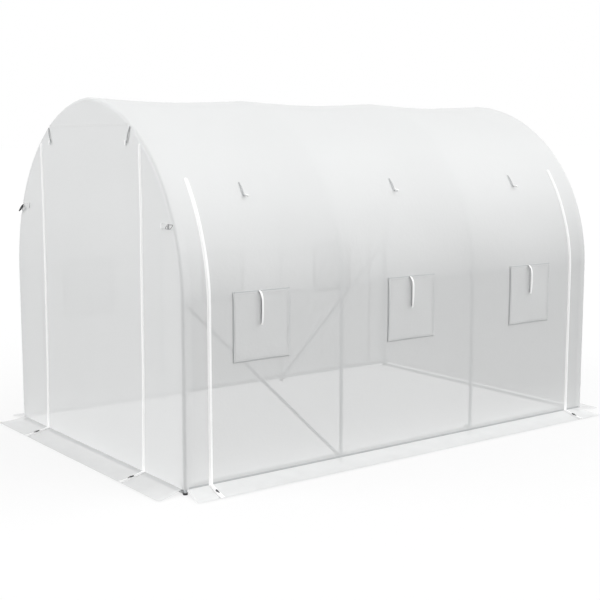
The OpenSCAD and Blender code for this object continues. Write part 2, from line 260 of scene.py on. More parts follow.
def frontSink(x, z):
    # the end film bellies in between the zips, and holds to the hoop and the ground
    underArch = crown - film["archGap"] - z - film["archDrop"] * x * x
    inside = smooth((halfWidth - abs(x)) / film["sideHold"]) * smooth((z - footZ) / film["endHold"])
    inside *= smooth(underArch / film["endHold"])
    wave = noise.noise(Vector((x * 3.1, z * 1.6, 7.3)))  # waves per metre, and a seed
    fold = noise.noise(Vector((x * 9.0, z * 1.1, 3.1)))
    return inside * (film["billow"] * (0.55 + 0.45 * wave) + film["fold"] * fold)


def frontPoint(x, z, lift=0.0):
    return Vector((x, -halfLength + frontSink(x, z) - lift, z))


def wallHeightS(z):
    # distance up the wall and bend at which the section reaches a height
    if z <= springZ:
        return z - footZ
    return wallRun + archRadius * math.asin((z - springZ) / archRadius)


def onSide(side, s):
    return s if side > 0 else 2 * halfGirth - s


def wallPoint(side, z, y, lift=0.0):
    return coverPoint(onSide(side, wallHeightS(z)), y, lift)


def wallOut(side, z):
    outX, outZ = sectionAt(wallHeightS(z))[2:]
    return Vector((side * outX, 0, outZ))


# Materials

def filmMaterial():
    # Milky polyethylene film, blown and folded: part clear, part glowing white, with creases and a sheen
    creaseSize = 0.055
    crumpleSize = 0.016
    cloudSize = 0.45
    material, tree, place = patternMaterial("polyethyleneFilm")
    crease = addNode(tree, "ShaderNodeTexNoise", [(place, "Vector")],
                     in_Scale=1 / creaseSize, in_Detail=2.0, in_Roughness=0.45)
    crumple = addNode(tree, "ShaderNodeTexNoise", [(place, "Vector")],
                      in_Scale=1 / crumpleSize, in_Detail=3.0, in_Roughness=0.6)
    both = addNode(tree, "ShaderNodeMath", [(crease, 0), (crumple, 1)], operation="ADD")
    relief = addNode(tree, "ShaderNodeBump", [(both, "Height")], in_Strength=0.35, in_Distance=0.0016)
    # the haze attribute carries the doubled film, the layered flaps and the painted light of the height
    # gradient; it makes the film paler and less clear
    haze = addNode(tree, "ShaderNodeAttribute", attribute_name="haze").outputs["Fac"]
    cloud = addNode(tree, "ShaderNodeTexNoise", [(place, "Vector")], in_Scale=1 / cloudSize, in_Detail=2.0)
    drift = addNode(tree, "ShaderNodeMath", [(cloud, 0)], operation="MULTIPLY", in_1=0.35)
    milk = addNode(tree, "ShaderNodeMath", [(haze, 0), (drift, 2)], operation="MULTIPLY_ADD", in_1=0.65)
    tint = addNode(tree, "ShaderNodeMix", [(milk, "Factor")], data_type="RGBA",
                   in_A=toLinear("#e2e3e3"), in_B=toLinear("#e8e9e9"))
    skin = addNode(tree, "ShaderNodeBsdfPrincipled", [(tint, "Base Color"), (relief, "Normal")],
                   in_Roughness=0.42, in_IOR=1.5, in_Specular_IOR_Level=0.35)
    glow = addNode(tree, "ShaderNodeBsdfTranslucent", [(tint, "Color"), (relief, "Normal")])
    body = addNode(tree, "ShaderNodeMixShader", [(skin, 1), (glow, 2)], in_0=0.16)
    clear = addNode(tree, "ShaderNodeBsdfTransparent", in_Color=(1, 1, 1, 1))
    cover = addNode(tree, "ShaderNodeMapRange", [(haze, "Value")], in_To_Min=0.77, in_To_Max=0.96)
    mix = addNode(tree, "ShaderNodeMixShader", [(cover, 0), (clear, 1), (body, 2)])
    addNode(tree, "ShaderNodeOutputMaterial", [(mix, "Surface")])
    return material


def skirtMaterial(name, dull, pale, share):
    # The same film laid flat on the ground: less clear, and scuffed a little
    crumpleSize = 0.02
    scuffSize = 0.09
    material, tree, place = patternMaterial(name)
    crumple = addNode(tree, "ShaderNodeTexNoise", [(place, "Vector")],
                      in_Scale=1 / crumpleSize, in_Detail=3.0, in_Roughness=0.6)
    relief = addNode(tree, "ShaderNodeBump", [(crumple, "Height")], in_Strength=0.4, in_Distance=0.0014)
    scuff = addNode(tree, "ShaderNodeTexNoise", [(place, "Vector")], in_Scale=1 / scuffSize, in_Detail=4.0)
    tint = addNode(tree, "ShaderNodeMix", [(scuff, "Factor")], data_type="RGBA",
                   in_A=toLinear(dull), in_B=toLinear(pale))
    skin = addNode(tree, "ShaderNodeBsdfPrincipled", [(tint, "Base Color"), (relief, "Normal")],
                   in_Roughness=0.5, in_IOR=1.5)
    clear = addNode(tree, "ShaderNodeBsdfTransparent", in_Color=(1, 1, 1, 1))
    mix = addNode(tree, "ShaderNodeMixShader", [(clear, 1), (skin, 2)], in_0=share)
    addNode(tree, "ShaderNodeOutputMaterial", [(mix, "Surface")])
    return material


def wovenMaterial(name, dark, light, threadSize, roughness):
    # Woven polyester tape: crossing threads, dull, with a light fuzz
    # the threads are drawn about six times as coarse as real ones, so that they can show
    material, tree, place = patternMaterial(name)
    warp, weft = [addNode(tree, "ShaderNodeTexWave", [(place, "Vector")], bands_direction=axis,
                          in_Scale=1 / (threadSize * 20), in_Distortion=0.6) for axis in "ZY"]
    weave = addNode(tree, "ShaderNodeMath",
                    [(warp.outputs["Fac"], 0), (weft.outputs["Fac"], 1)], operation="MULTIPLY")
    tint = addNode(tree, "ShaderNodeMix", [(weave, "Factor")], data_type="RGBA",
                   in_A=toLinear(dark), in_B=toLinear(light))
    relief = addNode(tree, "ShaderNodeBump", [(weave, "Height")],
                     in_Strength=0.3, in_Distance=threadSize * 0.4)
    skin = addNode(tree, "ShaderNodeBsdfPrincipled", [(tint, "Base Color"), (relief, "Normal")],
                   in_Roughness=roughness, in_Sheen_Weight=0.15)
    addNode(tree, "ShaderNodeOutputMaterial", [(skin, "Surface")])
    return material


def mouldedMaterial(name, colour, paler, roughness):
    # Injection-moulded plastic: even colour, faint flow marks and a fine spark grain
    flowSize = 0.012
    grainSize = 0.0011
    material, tree, place = patternMaterial(name)
    flow = addNode(tree, "ShaderNodeTexNoise", [(place, "Vector")], in_Scale=1 / flowSize, in_Detail=2.0)
    grain = addNode(tree, "ShaderNodeTexNoise", [(place, "Vector")], in_Scale=1 / grainSize, in_Detail=1.0)
    tint = addNode(tree, "ShaderNodeMix", [(flow, "Factor")], data_type="RGBA",
                   in_A=toLinear(colour), in_B=toLinear(paler))
    relief = addNode(tree, "ShaderNodeBump", [(grain, "Height")], in_Strength=0.2, in_Distance=0.0003)
    skin = addNode(tree, "ShaderNodeBsdfPrincipled", [(tint, "Base Color"), (relief, "Normal")],
                   in_Roughness=roughness, in_IOR=1.5)
    addNode(tree, "ShaderNodeOutputMaterial", [(skin, "Surface")])
    return material


def steelMaterial(name, dull, pale):
    # Galvanised steel tube: dull zinc grey with spangle patches
    spangleSize = 0.011
    cloudSize = 0.06
    material, tree, place = patternMaterial(name)
    spangle = addNode(tree, "ShaderNodeTexVoronoi", [(place, "Vector")], in_Scale=1 / spangleSize)
    cloud = addNode(tree, "ShaderNodeTexNoise", [(place, "Vector")], in_Scale=1 / cloudSize, in_Detail=3.0)
    patch = addNode(tree, "ShaderNodeMath", [(spangle, 0), (cloud, 1)], operation="MULTIPLY")
    tint = addNode(tree, "ShaderNodeMix", [(patch, "Factor")], data_type="RGBA",
                   in_A=toLinear(dull), in_B=toLinear(pale))
    gloss = addNode(tree, "ShaderNodeMapRange", [(cloud, "Value")], in_To_Min=0.38, in_To_Max=0.58)
    skin = addNode(tree, "ShaderNodeBsdfPrincipled", [(tint, "Base Color"), (gloss, "Roughness")],
                   in_Metallic=0.3)
    addNode(tree, "ShaderNodeOutputMaterial", [(skin, "Surface")])
    return material


def netMaterial():
    # Knitted insect net: open squares between white threads, drawn coarse enough to show
    threadPitch = 0.004
    material, tree, place = patternMaterial("insectNet")
    turn = addNode(tree, "ShaderNodeMapping", [(place, "Vector")], in_Rotation=(0, math.pi / 2, 0))
    net = addNode(tree, "ShaderNodeTexBrick", [(turn, "Vector")], offset=0.0, in_Scale=1 / threadPitch,
                  in_Mortar_Size=0.05, in_Brick_Width=1.0, in_Row_Height=1.0)
    skin = addNode(tree, "ShaderNodeBsdfPrincipled", in_Base_Color=toLinear("#f4f5f5"), in_Roughness=0.7)
    clear = addNode(tree, "ShaderNodeBsdfTransparent", in_Color=(1, 1, 1, 1))
    mix = addNode(tree, "ShaderNodeMixShader", [(net.outputs["Fac"], 0), (clear, 1), (skin, 2)])
    addNode(tree, "ShaderNodeOutputMaterial", [(mix, "Surface")])
    return material


clearFilm = filmMaterial()
sideGroundFilm = skirtMaterial("layFlatFilm", "#dddede", "#e8e9e9", 0.84)
# the end skirts are drawn greyer and a little clearer than the side skirts
endGroundFilm = skirtMaterial("greyerLayFlatFilm", "#d6d7d7", "#e1e2e2", 0.72)
hemFilm = skirtMaterial("hemmedFilm", "#dfe0e0", "#e6e7e7", 0.82)
steel = steelMaterial("galvanisedSteel", "#d6d9da", "#e7e9ea")
# painted shade: a darker copy of the galvanised steel for the ground bars, which lie in the shade near the
# ground
groundShadeSteel = steelMaterial("groundShadedGalvanisedSteel", "#cfd2d3", "#e1e3e4")
# painted light: a paler copy of the galvanised steel for the base rails and purlins, lightening the shade
# they lie in
litRailSteel = steelMaterial("paintedLightGalvanisedSteel", "#e4e6e7", "#f0f1f2")
# painted shade: a darker copy of the galvanised steel for the right legs and the left back brace
shadedLegSteel = steelMaterial("shadedGalvanisedSteel", "#c0c3c5", "#d3d6d7")
# painted shade: a still darker copy of the galvanised steel for the right front brace
deepShadeBraceSteel = steelMaterial("deepShadeGalvanisedSteel", "#a9acae", "#c0c3c4")
net = netMaterial()
whiteTape = wovenMaterial("whitePolyesterTape", "#fafafa", "#ffffff", 0.0012, 0.75)
darkWebbing = wovenMaterial("darkPolyesterWebbing", "#5a5d5f", "#787b7d", 0.0012, 0.8)
greyWebbing = wovenMaterial("greyPolyesterWebbing", "#7c7f81", "#a1a4a5", 0.0012, 0.8)
paleWebbing = wovenMaterial("paleGreyPolyesterWebbing", "#b2b4b5", "#cacccd", 0.0012, 0.8)
# grey tape for the painted shade lines at the foot of the side walls
footShadeTape = wovenMaterial("greyFootShadeTape", "#a9abac", "#bfc1c2", 0.0012, 0.85)
# pale grey tape for the painted shade strips round the flaps
flapShadeTape = wovenMaterial("paleGreyShadeStripTape", "#bec0c1", "#d1d3d4", 0.0012, 0.85)
greyThread = wovenMaterial("greyPolyesterThread", "#9a9d9e", "#c4c6c6", 0.0008, 0.8)
whiteThread = wovenMaterial("whitePolyesterThread", "#eceded", "#fafafa", 0.0008, 0.8)
blackPlastic = mouldedMaterial("blackPolypropylene", "#1d1e20", "#2b2c2f", 0.42)
greyPlastic = mouldedMaterial("greyPolypropylene", "#c3c6c7", "#d2d4d5", 0.5)
whitePlastic = mouldedMaterial("whitePolypropylene", "#f8f8f8", "#fdfdfd", 0.4)
print("materials made")

otherMaterials = (
    (greyPlastic, ("ridge_clamps", "side_clamps")),
    (groundShadeSteel, ("front_ground_bar", "back_ground_bar")),
    (litRailSteel, ("right_base_rail", "left_base_rail", "right_purlin", "left_purlin")),
    (shadedLegSteel, ("right_legs", "left_back_brace")),
    (deepShadeBraceSteel, ("right_front_brace",)),
    (blackPlastic, ("leg_feet",)),
    (net, ("window_meshes",)),
)
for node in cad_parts.values():
    node.data.materials.clear()
    node.data.materials.append(steel)
for material, names in otherMaterials:
    for name in names:
        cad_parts[name].data.materials[0] = material


# Cover over the hoops: one sheet from foot to foot, rolled in at both ends

holeMargin = 0.022  # a flap covers its hole by this much all round
holeHalf = flapSize / 2 - holeMargin
holeHeights = (flapTop - flapSize + holeMargin, flapTop - holeMargin)


def mergeLines(values, extra, step):
    lines = sorted(set(round(v, 6) for v in extra))
    for v in values:
        if all(abs(v - e) > step * 0.45 for e in lines[:len(extra)]):
            lines.append(round(v, 6))
    return sorted(lines)


def buildCover():
    step = film["gridStep"]
    roundR = tunnel["endRound"]
    straight = halfLength - roundR
    holeS = [wallHeightS(z) for z in holeHeights]
    sExtra = holeS + [2 * halfGirth - v for v in holeS] + [halfGirth]
    yExtra = [c + side * holeHalf for c in windowCentres for side in (-1, 1)]
    sLines = mergeLines(spread(0, 2 * halfGirth, 2 * round(halfGirth / step)), sExtra, step)
    yLines = mergeLines(spread(-straight, straight, round(2 * straight / step)), yExtra, step)
    turns = spread(0, math.radians(90), film["lipSteps"])[1:]
    lip = [(straight + roundR * math.sin(a), roundR * (1 - math.cos(a))) for a in turns]
    columns = [(-y, depth) for y, depth in reversed(lip)] + [(y, 0.0) for y in yLines] + lip
    points = []
    uvs = []
    haze = []
    for s in sLines:
        for y, depth in columns:
            points.append(coverPoint(s, y, -depth))
            uvs.append((s, y))
            weld = smooth((abs(y) - straight + film["weldWidth"]) / film["weldWidth"])
            haze.append(paintedHeightHaze(points[-1].z, film["weldHaze"] * weld))

    def keep(i, j):
        s = (sLines[i] + sLines[i + 1]) / 2
        y = (columns[j][0] + columns[j + 1][0]) / 2
        inHeight = holeS[0] < min(s, 2 * halfGirth - s) < holeS[1]
        return not (inHeight and any(abs(y - c) < holeHalf for c in windowCentres))

    faces = gridFaces(len(sLines), len(columns), keep=keep, turned=True)
    replaced = ("roof_cover", "right_curtain", "left_curtain", "right_wings", "left_wings")
    cover = makePiece("coverSheet", points, faces, clearFilm, replaced, uvs, haze)
    return sLines


coverLines = buildCover()
print("cover sheet built")


# End walls: each row runs across at the height of a row of the cover's rolled edge

def buildEnd(name, side, replaced):
    edge = [0.975, 0.985, 0.993, 1]  # closer lines near the hoop, as shares of the half width
    shares = [-u for u in reversed(edge)] + spread(-0.96, 0.96, 68) + edge
    rows = [s for s in coverLines if s <= halfGirth + 1e-6]
    points = []
    uvs = []
    haze = []
    for s in rows:
        x, z, outX, outZ = sectionAt(s)
        edgeX = max(0.0, x - outX * tunnel["endRound"])
        edgeZ = z - outZ * tunnel["endRound"]
        for share in shares:
            px = share * edgeX
            points.append(Vector((px, side * (halfLength - frontSink(px, edgeZ)), edgeZ)))
            uvs.append((px, edgeZ))
            haze.append(paintedHeightHaze(edgeZ, film["endHaze"]))
    faces = gridFaces(len(rows), len(shares), turned=side > 0)
    wall = makePiece(name, points, faces, clearFilm, replaced, uvs, haze)


buildEnd("frontSheet", -1, ("front_gable", "front_left_panel", "front_right_panel", "front_door"))
buildEnd("backSheet", 1, ("back_wall",))
print("end walls built")


# Skirts: film turned out from the foot of the walls, sloping down to the ground

skirt = {
    "width": 0.158,
    "ground": 0.002,
    "ease": 1.35,  # how much steeper the film is at the wall than at its edge
    "lift": 0.005,  # how far the edge rides up in places
    "wander": 0.004,  # how far the edge strays
    "corner": 0.018,
    "flare": 0.034,  # the ends spread at the corners of the tunnel
    "stray": 0.026,  # how far the zips run aside on the way out
    "short": 0.022,  # each skirt stops this far from the corner
    "step": 0.03,
}
zipper = {
    "tape": 0.024,
    "coil": 0.007,
    "thick": 0.0016,
    "sideY": halfLength - 0.155,
    "sideTop": crown - 0.418,
    "doorX": 0.585,
    "doorTop": crown - 0.255,
    "doorLean": 0.017,  # the film pulls the feet of both door zips this far to the left
    "skirtLap": 0.004,  # the skirts reach this far under the tape
    "roundCount": 3,  # stations in the rounded top
}
skirtOuts = spread(0, skirt["width"], 12)
sideStray = -skirt["stray"]
doorStray = skirt["stray"]
sideFeet = [-zipper["sideY"], zipper["sideY"]]
doorFeet = [side * zipper["doorX"] - zipper["doorLean"] for side in (-1, 1)]


def skirtRuns(end, feet):
    # stretches of skirt from corner to corner, split at the zips
    slit = zipper["tape"] / 2 - zipper["skirtLap"]
    lows = [-end] + [foot + slit for foot in feet]
    highs = [foot - slit for foot in feet] + [end]
    return list(zip(lows, highs))


def skirtHeight(out, along):
    share = out / skirt["width"]
    wave = 0.5 + 0.5 * noise.noise(Vector((along * 4.2, out * 3.0, 5.5)))  # waves per metre, and a seed
    slope = (footZ - skirt["ground"]) * max(0.0, 1 - share) ** skirt["ease"]
    return skirt["ground"] + slope + skirt["lift"] * share * share * wave


def skirtRun(points, faces, uvs, low, high, lowShift, highShift, toWorld):
    corner = skirt["corner"]
    ends = [corner * (1 - math.cos(a)) for a in spread(0, math.radians(90), 5)]
    steps = max(4, round((high - low) / skirt["step"]))
    alongs = [low + v for v in ends] + spread(low + corner, high - corner, steps)[1:-1]
    alongs += [high - v for v in reversed(ends)]
    faces += gridFaces(len(alongs), len(skirtOuts), len(points))
    for along in alongs:
        toEnd = min(along - low, high - along)
        cut = corner - math.sqrt(max(0.0, corner ** 2 - max(0.0, corner - toEnd) ** 2))
        edge = skirt["wander"] * noise.noise(Vector((along * 2.3, 1.1, 9.0)))
        reach = (skirt["width"] + edge - cut) / skirt["width"]
        share = (along - low) / (high - low)
        for out in skirtOuts:
            shift = (share * highShift + (1 - share) * lowShift) * out / skirt["width"]
            points.append(toWorld(along + shift, out * reach, skirtHeight(out, along)))
            uvs.append((along, out))


def buildSkirt(name, runs, toWorld, stray, replaced, material, reverse):
    points = []
    faces = []
    uvs = []
    for number, (low, high) in enumerate(runs):
        lowShift = -skirt["flare"] if number == 0 else stray
        highShift = skirt["flare"] if number == len(runs) - 1 else stray
        skirtRun(points, faces, uvs, low, high, lowShift, highShift, toWorld)
    if reverse:
        faces = [f[::-1] for f in faces]
    piece = makePiece(name, points, faces, material, (replaced,), uvs)


def sideGround(side):
    return lambda along, out, z: Vector((side * (halfWidth + out), along, z))


def endGround(side):
    return lambda along, out, z: Vector((along, side * (halfLength + out), z))


sideRuns = skirtRuns(halfLength - skirt["short"], sideFeet)
doorRuns = skirtRuns(halfWidth - skirt["short"], doorFeet)
backRuns = skirtRuns(halfWidth - skirt["short"], [])
buildSkirt("rightSkirt", sideRuns, sideGround(1), sideStray, "right_skirt", sideGroundFilm, True)
buildSkirt("leftSkirt", sideRuns, sideGround(-1), sideStray, "left_skirt", sideGroundFilm, False)
buildSkirt("frontSkirt", doorRuns, endGround(-1), doorStray, "front_skirt", endGroundFilm, False)
buildSkirt("backSkirt", backRuns, endGround(1), 0.0, "back_skirt", endGroundFilm, True)
print("skirts laid")


# Zips: tape with a raised coil, up the film and out over the skirt

def zipProfile():
    half = zipper["tape"] / 2
    coil = zipper["coil"] / 2
    thick = zipper["thick"]
    right = [(half, -0.0004), (half, thick * 0.5), (half - 0.001, thick), (coil + 0.001, thick + 0.0002),
             (coil, thick + 0.0016), (coil * 0.5, thick + 0.0024)]
    return right + [(-across, out) for across, out in reversed(right)]


def onSkirt(toWorld, along, stray, out):
    return toWorld(along + stray * out / skirt["width"], out, skirtHeight(out, along))


def groundStations(toWorld, along, stray, across):
    # from the edge of the skirt in to the foot of the wall
    stations = []
    for near, far in reversed(list(zip(skirtOuts, skirtOuts[1:]))):
        place = onSkirt(toWorld, along, stray, far)
        tangent = onSkirt(toWorld, along, stray, near) - place
        slope = across.cross(tangent).normalized()
        if slope.z < 0:
            slope = -slope
        stations.append((place + slope * 0.0012, slope, across, 1.0))  # just clear of the skirt
    return stations


def roundEnd(stations):
    # narrows the last stations to a rounded top
    made = []
    for i, (place, out, across, scale) in enumerate(stations):
        t = min(1.0, (len(stations) - 1 - i) / zipper["roundCount"])
        made.append((place, out, across, max(0.25, math.sqrt(1 - (1 - t) ** 2))))
    return made


def sideZipStations(y, side):
    top = zipper["sideTop"]
    across = alongY * -side
    stations = groundStations(sideGround(side), y, sideStray, across)
    for z in spread(footZ, top, 80) + [top + 0.003, top + 0.006]:
        stations.append((wallPoint(side, z, y), wallOut(side, z), across, 1.0))
    return roundEnd(stations)


def doorZipStations(foot):
    top = zipper["doorTop"]
    stations = groundStations(endGround(-1), foot, doorStray, -alongX)
    for z in spread(footZ, top, 70) + [top + 0.004, top + 0.008]:
        x = foot + zipper["doorLean"] * (z - footZ) / (top - footZ)
        stations.append((frontPoint(x, z), -alongY, -alongX, 1.0))
    return roundEnd(stations)


zipLines = {"frontDoorZips": ("front_door_zips", [doorZipStations(foot) for foot in doorFeet])}
for side, label in ((1, "right"), (-1, "left")):
    lines = [sideZipStations(y, side) for y in sideFeet]
    zipLines[label + "CurtainZips"] = (label + "_curtain_zips", lines)
for name, (node, lines) in zipLines.items():
    bandPiece(name, [(stations, zipProfile()) for stations in lines], whiteTape, (node,))
print("zips sewn in")


# Shapes shared by the small pieces

def strapProfile(width, thick):
    half = width / 2
    edge = thick * 0.4
    return [(-half, edge), (-half + edge, 0), (half - edge, 0), (half, edge),
            (half, thick - edge), (half - edge, thick), (-half + edge, thick), (-half, thick - edge)]


def circleProfile(sides, radius):
    turns = [2 * math.pi * k / sides for k in range(sides)]
    return [(radius * math.cos(a), radius * math.sin(a)) for a in turns]


def smoothPath(marks, perSpan):
    # a curve through all the marks
    made = []
    for i in range(len(marks) - 1):
        before = marks[max(0, i - 1)]
        here = marks[i]
        there = marks[i + 1]
        after = marks[min(len(marks) - 1, i + 2)]
        for k in range(perSpan):
            t = k / perSpan
            made.append(0.5 * (2 * here + (there - before) * t
                               + (2 * before - 5 * here + 4 * there - after) * t * t
                               + (3 * here - before - 3 * there + after) * t ** 3))
    return made + [marks[-1]]


def strapAlong(path, across, profile):
    stations = []
    for i, place in enumerate(path):
        tangent = (path[min(i + 1, len(path) - 1)] - path[max(i - 1, 0)]).normalized()
        stations.append((place, tangent.cross(across).normalized(), across, 1.0))
    return stations, profile


def turnedBar(start, end, outline):
    # a turned form between two points; outline gives (share of the length, radius)
    first = (end - start).orthogonal().normalized()
    second = (end - start).normalized().cross(first)
    stations = []
    for share, radius in outline:
        stations.append((start.lerp(end, share), second * radius, first * radius, 1.0))
    return stations, circleProfile(14, 1.0)


def roundedRing(centre, along, across, length, width, corner, radius):
    # a bar bent into a rounded rectangle, with a round section
    marks = []
    for turn, (sx, sy) in enumerate(((1, 1), (-1, 1), (-1, -1), (1, -1))):
        for a in spread(math.radians(90 * turn), math.radians(90 * turn + 90), 5):
            u = sx * (length / 2 - corner) + corner * math.cos(a)
            v = sy * (width / 2 - corner) + corner * math.sin(a)
            marks.append(centre + along * u + across * v)
    face = along.cross(across).normalized()
    stations = []
    for i, place in enumerate(marks):
        tangent = (marks[(i + 1) % len(marks)] - marks[i - 1]).normalized()
        stations.append((place, face, tangent.cross(face).normalized(), 1.0))
    return stations, circleProfile(10, radius)


# Repeats, such as stitches, zip teeth and bolts, made with Geometry Nodes

def startTree(name, sizes):
    tree = bpy.data.node_groups.new(name, "GeometryNodeTree")
    kinds = {"Line": "Geometry", **{size: "Float" for size in sizes}, "Material": "Material"}
    for key, kind in kinds.items():
        tree.interface.new_socket(key, in_out="INPUT", socket_type="NodeSocket" + kind)
    tree.interface.new_socket("Result", in_out="OUTPUT", socket_type="NodeSocketGeometry")
    out = addNode(tree, "GeometryNodeInputNamedAttribute", data_type="FLOAT_VECTOR", in_Name="outward")
    return tree, addNode(tree, "NodeGroupInput").outputs, out


def endTree(tree, material, links):
    copies = addNode(tree, "GeometryNodeInstanceOnPoints", links)
    real = addNode(tree, "GeometryNodeRealizeInstances", [(copies, "Geometry")])
    dressed = addNode(tree, "GeometryNodeSetMaterial", [(real, "Geometry"), (material, "Material")])
    addNode(tree, "NodeGroupOutput", [(dressed, "Result")])
    return tree


def repeatTree():
    # beads at a pitch along each line
    tree, given, out = startTree("repeatAlongLine", ("Pitch", "Along", "Across", "High"))
    line = addNode(tree, "GeometryNodeMeshToCurve", [(given["Line"], "Mesh")])
    marks = addNode(tree, "GeometryNodeCurveToPoints",
                    [(line, "Curve"), (given["Pitch"], "Length")], mode="LENGTH")
    turn = addNode(tree, "FunctionNodeAxesToRotation",
                   [(out, "Primary Axis"), (marks.outputs["Tangent"], "Secondary Axis")],
                   primary_axis="Z", secondary_axis="X")
    size = addNode(tree, "ShaderNodeCombineXYZ",
                   [(given["Along"], "X"), (given["Across"], "Y"), (given["High"], "Z")])
    bead = addNode(tree, "GeometryNodeMeshIcoSphere", in_Radius=0.5, in_Subdivisions=1)
    return endTree(tree, given["Material"],
                   [(marks, "Points"), (bead, "Instance"), (turn, "Rotation"), (size, "Scale")])


def boltTree():
    # a hexagon head on a washer at each place
    tree, given, out = startTree("boltsOnClamps", ("Head", "Depth"))
    turn = addNode(tree, "FunctionNodeAlignRotationToVector", [(out, "Vector")], axis="Z")
    head = addNode(tree, "GeometryNodeMeshCylinder",
                   [(given["Head"], "Radius"), (given["Depth"], "Depth")], in_Vertices=6)
    wide = addNode(tree, "ShaderNodeMath", [(given["Head"], 0)], operation="MULTIPLY", in_1=1.45)
    thin = addNode(tree, "ShaderNodeMath", [(given["Depth"], 0)], operation="MULTIPLY", in_1=0.35)
    washer = addNode(tree, "GeometryNodeMeshCylinder", [(wide, "Radius"), (thin, "Depth")], in_Vertices=20)
    both = addNode(tree, "GeometryNodeJoinGeometry", [(head, 0), (washer, 0)])
    return endTree(tree, given["Material"],
                   [(given["Line"], "Points"), (both, "Instance"), (turn, "Rotation")])


def growPiece(name, lines, tree, settings):
    # lines are runs of (place, outward); a run of one is a single place
    mesh = bpy.data.meshes.new(name + "Line")
    places = []
    edges = []
    outs = []
    for run in lines:
        start = len(places)
        for place, out in run:
            places.append(tuple(place))
            outs.extend(out)
        edges += [(start + i, start + i + 1) for i in range(len(run) - 1)]
    mesh.from_pydata(places, edges, [])
    mesh.attributes.new("outward", "FLOAT_VECTOR", "POINT").data.foreach_set("vector", outs)
    guide = bpy.data.objects.new(name + "Line", mesh)
    bpy.context.scene.collection.objects.link(guide)
    grow = guide.modifiers.new("grow", "NODES")
    grow.node_group = tree
    for item in tree.interface.items_tree:
        if item.in_out == "INPUT" and item.name in settings:
            grow[item.identifier] = settings[item.name]
    view = guide.evaluated_get(bpy.context.evaluated_depsgraph_get())
    made = bpy.data.meshes.new_from_object(view)
    made.name = name
    guide.modifiers.remove(grow)
    bpy.data.objects.remove(guide)
    bpy.data.meshes.remove(mesh)
    enterPiece(name, made)


repeatLine = repeatTree()
boltPlaces = boltTree()


def besideZips(aside, lift):
    runs = []
    for node, lines in zipLines.values():
        for stations in lines:
            kept = stations[:-zipper["roundCount"]]
            runs.append([(place + across * aside + out * lift, out) for place, out, across, scale in kept])
    return runs


teeth = {"Pitch": 0.0045, "Along": 0.0026, "Across": 0.0076, "High": 0.0016, "Material": whitePlastic}
growPiece("zipTeeth", besideZips(0, zipper["thick"] + 0.0024), repeatLine, teeth)
zipStitch = {"Pitch": 0.0065, "Along": 0.0050, "Across": 0.0011, "High": 0.0009, "Material": whiteThread}
stitchRow = zipper["tape"] / 2 - 0.003
growPiece("zipStitches", besideZips(-stitchRow, zipper["thick"]) + besideZips(stitchRow, zipper["thick"]),
          repeatLine, zipStitch)
print("zip teeth and stitches grown")


# Seam across the front over the door: a lap of film with two rows of stitches

gableSeam = {"height": 1.826, "half": 0.46, "lap": 0.012, "thick": 0.0004, "lift": 0.0003, "inset": 0.003}
seamStitch = {"Pitch": 0.0065, "Along": 0.0046, "Across": 0.0011, "High": 0.0009, "Material": whiteThread}


def seamRow(aside, lift):
    xs = spread(-gableSeam["half"], gableSeam["half"], 40)
    return [frontPoint(x, gableSeam["height"] + aside, lift) for x in xs]


lap = strapAlong(seamRow(0, gableSeam["lift"]), alongZ, strapProfile(gableSeam["lap"], gableSeam["thick"]))
bandPiece("gableSeam", [lap], clearFilm, haze=1.0)
aside = gableSeam["lap"] / 2 - gableSeam["inset"]
stitchLift = gableSeam["lift"] + 0.0005
rows = [[(place, -alongY) for place in seamRow(side * aside, stitchLift)] for side in (-1, 1)]
growPiece("gableStitches", rows, repeatLine, seamStitch)
print("gable seam sewn")


# Window flaps: squares of film hung over the net, hemmed, with grey strips behind their edges as painted
# shade lines

flap = {
    "stand": 0.0052,  # how far the film hangs off the wall
    "bulge": 0.004,
    "curl": 0.0016,
    "pull": 0.004,  # how far the sides and the foot draw in
    "hem": 0.011,
    "hemLift": 0.0007,
    "haze": 0.40,  # flap, net and wall together are milkier than the wall alone
}
flapShade = {
    "width": 0.012,
    "thick": 0.0022,
    "lift": 0.0006,
    "peep": {"front": 0.0022, "back": 0.0050, "low": 0.0040, "high": 0.0070},  # how far each strip shows past its edge, as a painted shade line
}
hemStitch = {"Pitch": 0.0065, "Along": 0.0046, "Across": 0.0012, "High": 0.0010, "Material": greyThread}


def flapPoint(side, centre, u, v, lift=0.0):
    # u runs from -1 to 1 along the tunnel, and v from 0 at the top to 1 at the foot
    y = centre + u * (flapSize / 2 - flap["pull"] * math.sin(math.pi * v))
    z = flapTop - v * (flapSize - flap["pull"] * (1 - u * u))
    puff = flap["bulge"] * (1 - u * u) * math.sin(math.pi * (0.15 + 0.85 * v))
    curl = flap["curl"] * noise.noise(Vector((u * 1.9 + centre * 5, v * 2.3, side * 4.0)))
    return wallPoint(side, z, y) + wallOut(side, z) * (flap["stand"] + puff + curl + lift)


def flapLines(low, high):
    border = (high - low) * flap["hem"] / flapSize
    return [low] + spread(low + border, high - border, 16) + [high]


